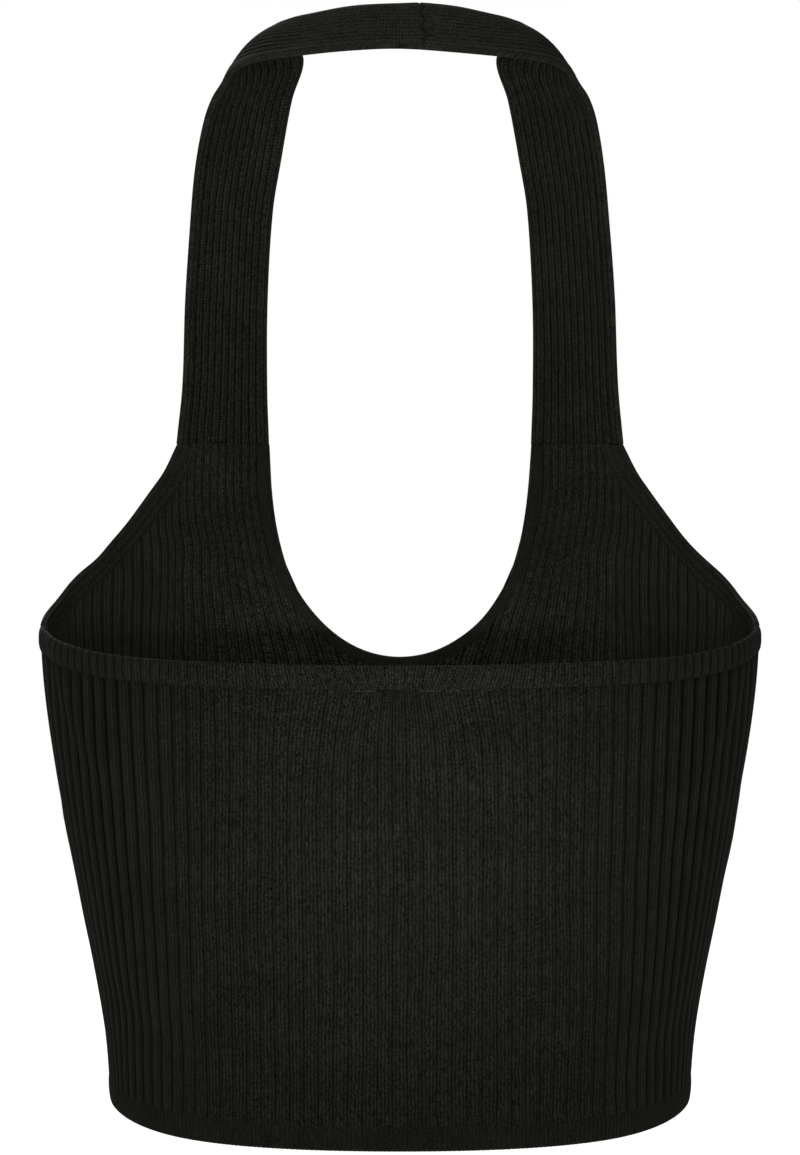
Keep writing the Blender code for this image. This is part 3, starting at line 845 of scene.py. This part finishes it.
def build_neck_facing():
    """The neckline's turned edge: a narrow roll outside and a wider hem inside."""
    half = np.linspace(0, NECK_RIBS, NECK_STATIONS) + ARMHOLE_RIBS + STRAP_RIBS
    angle, height = front_edge(half)
    angle = with_mirror(angle, 2 * math.pi)
    height = np.concatenate([height, height[-2::-1]])
    turn, rise = edge_frame(angle, height)
    down = -np.sign(np.median(rise))
    share = np.linspace(-1, 1, 13)
    inner = mix(FACING_START, NECK_FACING, 0.5 + 0.5 * share)
    outer = mix(FACING_START, NECK_ROLL, 0.5 + 0.5 * share)
    puff = FACING_PUFF * (1 - share ** 4)
    piece = edge_strip(
        "neckline_facing", angle, height, (turn * down, rise * down), (outer, inner),
        (FACING_OUTSIDE + puff, -RIB_RISE - WALL - FACING_INSIDE - puff), 0.0014, EDGE_KNIT,
        (0.8, 0.4))


def build_side_seam(name, angle):
    """The seam allowance inside, pressed flat over the side seam."""
    share = np.linspace(-1, 1, 9)[None, :]
    heights = np.linspace(HEM_SIDE + 0.0010, BACK_TOP_SIDE - 0.0008, EDGE_STATIONS)[:, None]
    waver = 0.004 * np.sin(heights * 260.0) + 0.003 * np.sin(heights * 611.0 + 1.0)
    angles = angle + ALLOWANCE_TURN * share + waver
    heights = np.broadcast_to(heights, angles.shape)
    level = ALLOWANCE_RISE * (1 - share ** 6) + 0.00015 * np.sin(heights * 2400.0)
    outer = torso_point(angles, heights, np.full(angles.shape, -RIB_RISE - 0.8 * WALL))
    inner = torso_point(angles, heights, -RIB_RISE - WALL - level)
    uv = knit_map(share * 3, heights / COURSE)
    piece = knit_wall(name, outer, inner, uv, EDGE_KNIT, (0.5, 0.5))


# --- Neck strap ---

def loop_table():
    """The strap's rows by their run round the neck, from its right end to its left one."""
    middles = 0.5 * (STRAP[:, 0:3] + STRAP[:, 3:6])
    left = np.column_stack([run_lengths(middles), STRAP])
    right = left[:0:-1].copy()
    right[:, (0, 1, 4)] *= -1
    return np.vstack([right, left])


LOOP = loop_table()
LOOP_END = LOOP[-1, 0]


def loop_skin(run, across):
    """Plain outer surface of the strap, across from its outer to its inner edge."""
    row = interpolate(LOOP, run)
    change = interpolate(LOOP, run + DELTA) - interpolate(LOOP, run - DELTA)
    forward = change[..., 0:3] + change[..., 3:6]
    inner = row[..., 0:3]
    outer = row[..., 3:6]
    outward = unit(np.cross(inner - outer, forward))
    crown = row[..., 6] * 4 * across * (1 - across)
    return mix(outer, inner, across[..., None]) + outward * crown[..., None]


def loop_point(run, across, out):
    """Point that stands out from the strap, with the soft waves of its length."""
    forward = loop_skin(run + DELTA, across) - loop_skin(run - DELTA, across)
    inward = loop_skin(run, across + DELTA) - loop_skin(run, across - DELTA)
    wave = (
        0.00025 * np.sin(run * 47 + across * 2.0)
        + 0.00018 * np.sin(run * 91 - across * 3.1 + 1.0)
    )
    lift = out + wave * (1 - smooth(0.02, 0.0, LOOP_END - np.abs(run)))
    return loop_skin(run, across) + unit(np.cross(inward, forward)) * lift[..., None]


def strap_columns():
    """Places across the strap and the depths of its faces: turned edges, with ribs between."""
    middle_ribs = int(STRAP_RIBS - 2 * STRAP_STRIP)
    share = STRAP_STRIP / STRAP_RIBS
    places, outer, inner = rib_columns(middle_ribs, STRAP_RIB)
    places = mix(share, 1 - share, places)
    strip = np.linspace(0, 1, 7)[:-1]
    swell = -0.00055 * np.sin(math.pi * np.clip(strip * 1.05, 0, 1)) ** 0.6
    edge = mix(STRAP_INSET, share, strip)
    places = np.concatenate([edge, places, 1 - edge[::-1]])
    outer = np.concatenate([0.4 * swell, outer, 0.4 * swell[::-1]])
    inner = np.concatenate([1.6 * swell, inner, 1.6 * swell[::-1]])
    return places, outer, inner


def build_strap(name, node, start, end):
    """One side's strap, that waves and swells a little by the nape's seam and dips in it."""
    places, outer_depth, inner_depth = strap_columns()
    run = mix(start, end, np.linspace(0, 1, STRAP_ROWS))[:, None]
    run, across = np.broadcast_arrays(run, places)
    nape = np.exp(-((run + NAPE_SEAM) / NAPE_REACH) ** 2)
    run = run + SEAM_WAVE * np.sin(across * SEAM_TURN) * nape
    across = across + 0.004 * np.sin(run * 61.0 + 0.7) * np.sin(math.pi * across)
    swell = NAPE_SWELL * nape - NAPE_DIP * np.exp(-((run + NAPE_SEAM) / NAPE_DIP_WIDTH) ** 2)
    outer = loop_point(run, across, swell - outer_depth)
    inner = loop_point(run, across, -RIB_RISE - WALL + inner_depth)
    uv = knit_map((places * STRAP_RIBS - STRAP_STRIP) * STRAP_WALES, run / STRAP_COURSE)
    piece = knit_wall(name, outer, inner, uv, STRAP_KNIT, (0.75, 0.75))
    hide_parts(node)


# --- Stitches ---

def build_beads(name, dashes, material):
    """Short lengths of thread; each has two ends, an outward direction and a width."""
    verts = []
    faces = []
    sides = 6
    rings = ((0.0, 0.25), (0.12, 0.8), (0.5, 1.0), (0.88, 0.8), (1.0, 0.25))
    for start, end, outward, width in dashes:
        forward = unit(end - start)
        across = unit(np.cross(forward, outward))
        first = len(verts)
        for along, size in rings:
            arch = 0.35 * width * math.sin(math.pi * along)
            centre = mix(start, end, along) + outward * arch
            for step in range(sides):
                turn = 2 * math.pi * step / sides
                around = across * math.cos(turn) + outward * math.sin(turn)
                verts.append((centre + around * 0.5 * width * size).tolist())
        for ring in range(len(rings) - 1):
            for step in range(sides):
                a = first + ring * sides + step
                b = first + ring * sides + (step + 1) % sides
                faces.append((a, b, b + sides, a + sides))
        last = first + (len(rings) - 1) * sides
        faces.append(tuple(range(first + sides - 1, first - 1, -1)))
        faces.append(tuple(range(last, last + sides)))
    mesh = bpy.data.meshes.new(name)
    mesh.from_pydata(verts, [], faces)
    mesh.polygons.foreach_set("use_smooth", [True] * len(mesh.polygons))
    add_piece(name, mesh, material)


def torso_dash(angle, height, length, tilt, out, width):
    """Length of thread on the torso, tilted in radians from level."""
    half = 0.5 * length
    turn = half * math.cos(tilt) / ARC
    rise = half * math.sin(tilt)
    angles = np.array([angle - turn, angle + turn, angle])
    heights = np.array([height - rise, height + rise, height])
    points = torso_point(angles, heights, np.full(3, out))
    lifted = torso_point(angles, heights, np.full(3, out + 0.001))
    return points[0], points[1], unit(lifted[2] - points[2]), width


# Stretches of the back's border where its pale seam thread shows, by x in millimetres.
SEAM_DASHES = (
    (87.0, 87.6), (64.0, 64.8), (40.6, 41.2), (27.0, 28.4), (24.0, 24.6), (9.4, 19.2),
    (3.4, 5.0), (-16.4, -8.2), (-19.0, -18.2), (-24.0, -20.4), (-35.0, -34.5), (-36.6, -36.0),
    (-61.2, -60.8),
)
# Specks of lint: degrees round from the spine, height, length in millimetres, tilt in radians.
LINT = (
    (36.9, -0.2633, 0.6, 0.4), (-31.0, -0.352, 0.5, 1.1), (9.0, -0.421, 0.4, 2.0),
    (-52.0, -0.301, 0.5, 0.2), (52.0, -0.388, 0.5, 1.7),
)
PALE_PITCH = 0.85  # millimetres from one pale stitch to the next
BUST_HALF_BREADTH = TORSO[4, 1]
BORDER_STITCHES = 260
BORDER_STITCH_END = 1.50  # radians from the spine to the last of them
NAPE_STITCHES = 34
NAPE_STITCH_OUT = 0.00025
NAPE_STITCH_WIDTH = 0.0008


def border_stitches():
    """Pale stitches below the border, where they show."""
    level = BACK_TOP_MIDDLE - BACK_BORDER - 0.0004
    for low, high in SEAM_DASHES:
        count = max(1, round((high - low) / PALE_PITCH))
        for step in range(count):
            x = 0.001 * mix(low, high, (step + 0.5) / count)
            turn = math.asin((abs(x) / BUST_HALF_BREADTH) ** (0.5 * SECTION_POWER))
            angle = math.copysign(turn, x)
            height = level + (back_top(angle) - BACK_TOP_MIDDLE)
            chance = math.sin(x * 9311.0)
            yield torso_dash(angle, height + 0.00015 * chance, 0.00045 + 0.0002 * chance,
                             0.4 * chance, -0.0001, 0.00018 + 0.00006 * chance)


def border_seam():
    """Dark stitches in the seam, all along the border."""
    for angle in np.linspace(-BORDER_STITCH_END, BORDER_STITCH_END, BORDER_STITCHES):
        height = back_top(angle) - BACK_BORDER - 0.0001
        yield torso_dash(angle, height, 0.0008, 0.9, -0.0004, 0.0003)


def nape_seam():
    """Stitches across the strap, on its outer face, in near black thread that also draws the
    seam's line of painted shade.
    """
    for step in range(NAPE_STITCHES):
        across = np.array([step + 0.1, step + 0.9]) / NAPE_STITCHES * 0.96 + 0.02
        run = -NAPE_SEAM + SEAM_WAVE * np.sin(across * SEAM_TURN)
        run = run + 0.0003 * np.sin(across * 61.0)
        ends = loop_point(run, across, np.full(2, NAPE_STITCH_OUT))
        above = loop_point(run, across, np.full(2, NAPE_STITCH_OUT + 0.001))
        yield ends[0], ends[1], unit(above[0] - ends[0]), NAPE_STITCH_WIDTH


def build_stitches():
    """All the thread that shows."""
    specks = [
        torso_dash(math.radians(degrees), height, 0.001 * length, tilt, 0.0001, 0.00024)
        for degrees, height, length, tilt in LINT
    ]
    build_beads("border_stitches", border_stitches(), PALE_THREAD)
    build_beads("lint", specks, PALE_THREAD)
    build_beads("border_seam", border_seam(), SEAM_THREAD)
    build_beads("nape_seam", nape_seam(), SEAM_SHADE_THREAD)


# --- Floor, light and camera ---
AMBIENT = 0.22  # how bright the white room lights
FLOOR_HEIGHT = -0.62
FLOOR_REACH = 2.0  # half of the floor's side
CAMERA_DISTANCE = 2.09  # from the nape
FOCAL_PIXELS = 5190.0  # focal length in pixels of the frame
FRAME_PIXELS = 1155.0  # height of the frame
NAPE_ROW = 26.5  # row of the frame that the nape is on
SENSOR = 36.0


def build_floor():
    """A pale floor that fades into the white room before its edge."""
    mesh = bpy.data.meshes.new("floor")
    corners = [(FLOOR_REACH * x, FLOOR_REACH * y, 0)
               for x, y in ((-1, -1), (1, -1), (1, 1), (-1, 1))]
    mesh.from_pydata(corners, [], [(0, 1, 2, 3)])
    floor = add_object("floor", mesh)
    floor.location = (0, 0, FLOOR_HEIGHT)
    g = Graph("floor_paint")
    set_inputs(g.shader, {
        "Base Color": (0.97, 0.97, 0.97, 1), "Roughness": 1.0, "Specular IOR Level": 0.0,
    })
    coordinates = g.node("TexCoord")
    reach = g.node("VectorMath")
    reach.operation = "LENGTH"
    shown = g.node("MapRange")
    shown.interpolation_type = "SMOOTHSTEP"
    set_inputs(shown, {"From Min": 1.9, "From Max": 0.5})
    g.link(coordinates.outputs["Object"], reach.inputs[0])
    g.link(reach.outputs["Value"], shown.inputs["Value"])
    g.link(shown.outputs["Result"], g.shader.inputs["Alpha"])
    mesh.materials.append(g.material)


def add_light(name, location, target, size, power, cone=None):
    """A round soft box, or a soft spot with a cone in degrees."""
    if cone is None:
        data = bpy.data.lights.new(name, "AREA")
        data.shape = "DISK"
        data.size = size
    else:
        data = bpy.data.lights.new(name, "SPOT")
        data.shadow_soft_size = 0.5 * size
        data.spot_size = math.radians(cone)
        data.spot_blend = 1.0
    data.energy = power
    light = add_object(name, data)
    light.location = location
    light.visible_camera = False
    direction = np.subtract(target, location)
    flat = math.hypot(direction[0], direction[1])
    light.rotation_euler = (math.atan2(flat, -direction[2]), 0.0,
                            math.atan2(direction[1], direction[0]) - 0.5 * math.pi)


def build_light():
    """A white room that is seen brighter than it lights, so the soft lamps shape the cloth."""
    world = bpy.data.worlds.new("studio")
    world.use_nodes = True
    tree = world.node_tree
    background = tree.nodes["Background"]
    background.inputs["Color"].default_value = (1, 1, 1, 1)
    path = tree.nodes.new("ShaderNodeLightPath")
    strength = tree.nodes.new("ShaderNodeMath")
    strength.operation = "MULTIPLY_ADD"
    strength.inputs[1].default_value = 1.0 - AMBIENT
    strength.inputs[2].default_value = AMBIENT
    tree.links.new(path.outputs["Is Camera Ray"], strength.inputs[0])
    tree.links.new(strength.outputs[0], background.inputs["Strength"])
    bpy.context.scene.world = world
    add_light("key", (-0.12, 3.0, 0.10), (0.0, -0.05, -0.22), 1.3, 52.0)
    add_light("side", (1.6, 2.2, 0.5), (0.0, -0.05, -0.22), 1.6, 9.0)
    add_light("accent", (-0.25, 2.6, -0.16), (-0.006, 0.02, -0.318), 0.08, 180.0, 5.4)
    add_light("front", (0.7, -2.6, 0.7), (0.0, -0.05, -0.28), 1.8, 44.0)
    add_light("top", (0.0, -1.5, 2.4), (0.0, -1.3, FLOOR_HEIGHT), 2.0, 60.0)
    view = bpy.context.scene.view_settings
    view.view_transform = "Standard"
    view.look = "None"
    view.exposure = 0.0
    view.gamma = 1.0


def build_camera():
    """Behind the top and level with the nape, tilted down so that the nape is near the edge."""
    data = bpy.data.cameras.new("camera")
    data.sensor_fit = "AUTO"
    data.sensor_width = SENSOR
    data.lens = FOCAL_PIXELS / FRAME_PIXELS * SENSOR
    data.clip_start = 0.1
    data.clip_end = 100.0
    camera = add_object("camera", data)
    camera.location = (0.0, CAMERA_DISTANCE, 0.0)
    tilt = math.atan((0.5 * FRAME_PIXELS - NAPE_ROW) / FOCAL_PIXELS)
    camera.rotation_euler = (0.5 * math.pi - tilt, 0.0, math.pi)
    bpy.context.scene.camera = camera


build_camera()
build_light()
build_floor()
build_back()
build_border()
build_hem("back_hem_knit", "back_hem", BACK_SPAN)
build_hem("front_hem_knit", "front_hem", FRONT_SPAN)
build_front()
build_arm_band("arm_band_left", False)
build_arm_band("arm_band_right", True)
build_neck_facing()
build_side_seam("side_seam_left", 0.5 * math.pi)
build_side_seam("side_seam_right", -0.5 * math.pi)
build_strap("strap_left_knit", "strap_left", -NAPE_SEAM - 0.0003, LOOP_END + 0.0006)
build_strap("strap_right_knit", "strap_right", -LOOP_END - 0.0006, -NAPE_SEAM + 0.0003)
build_stitches()
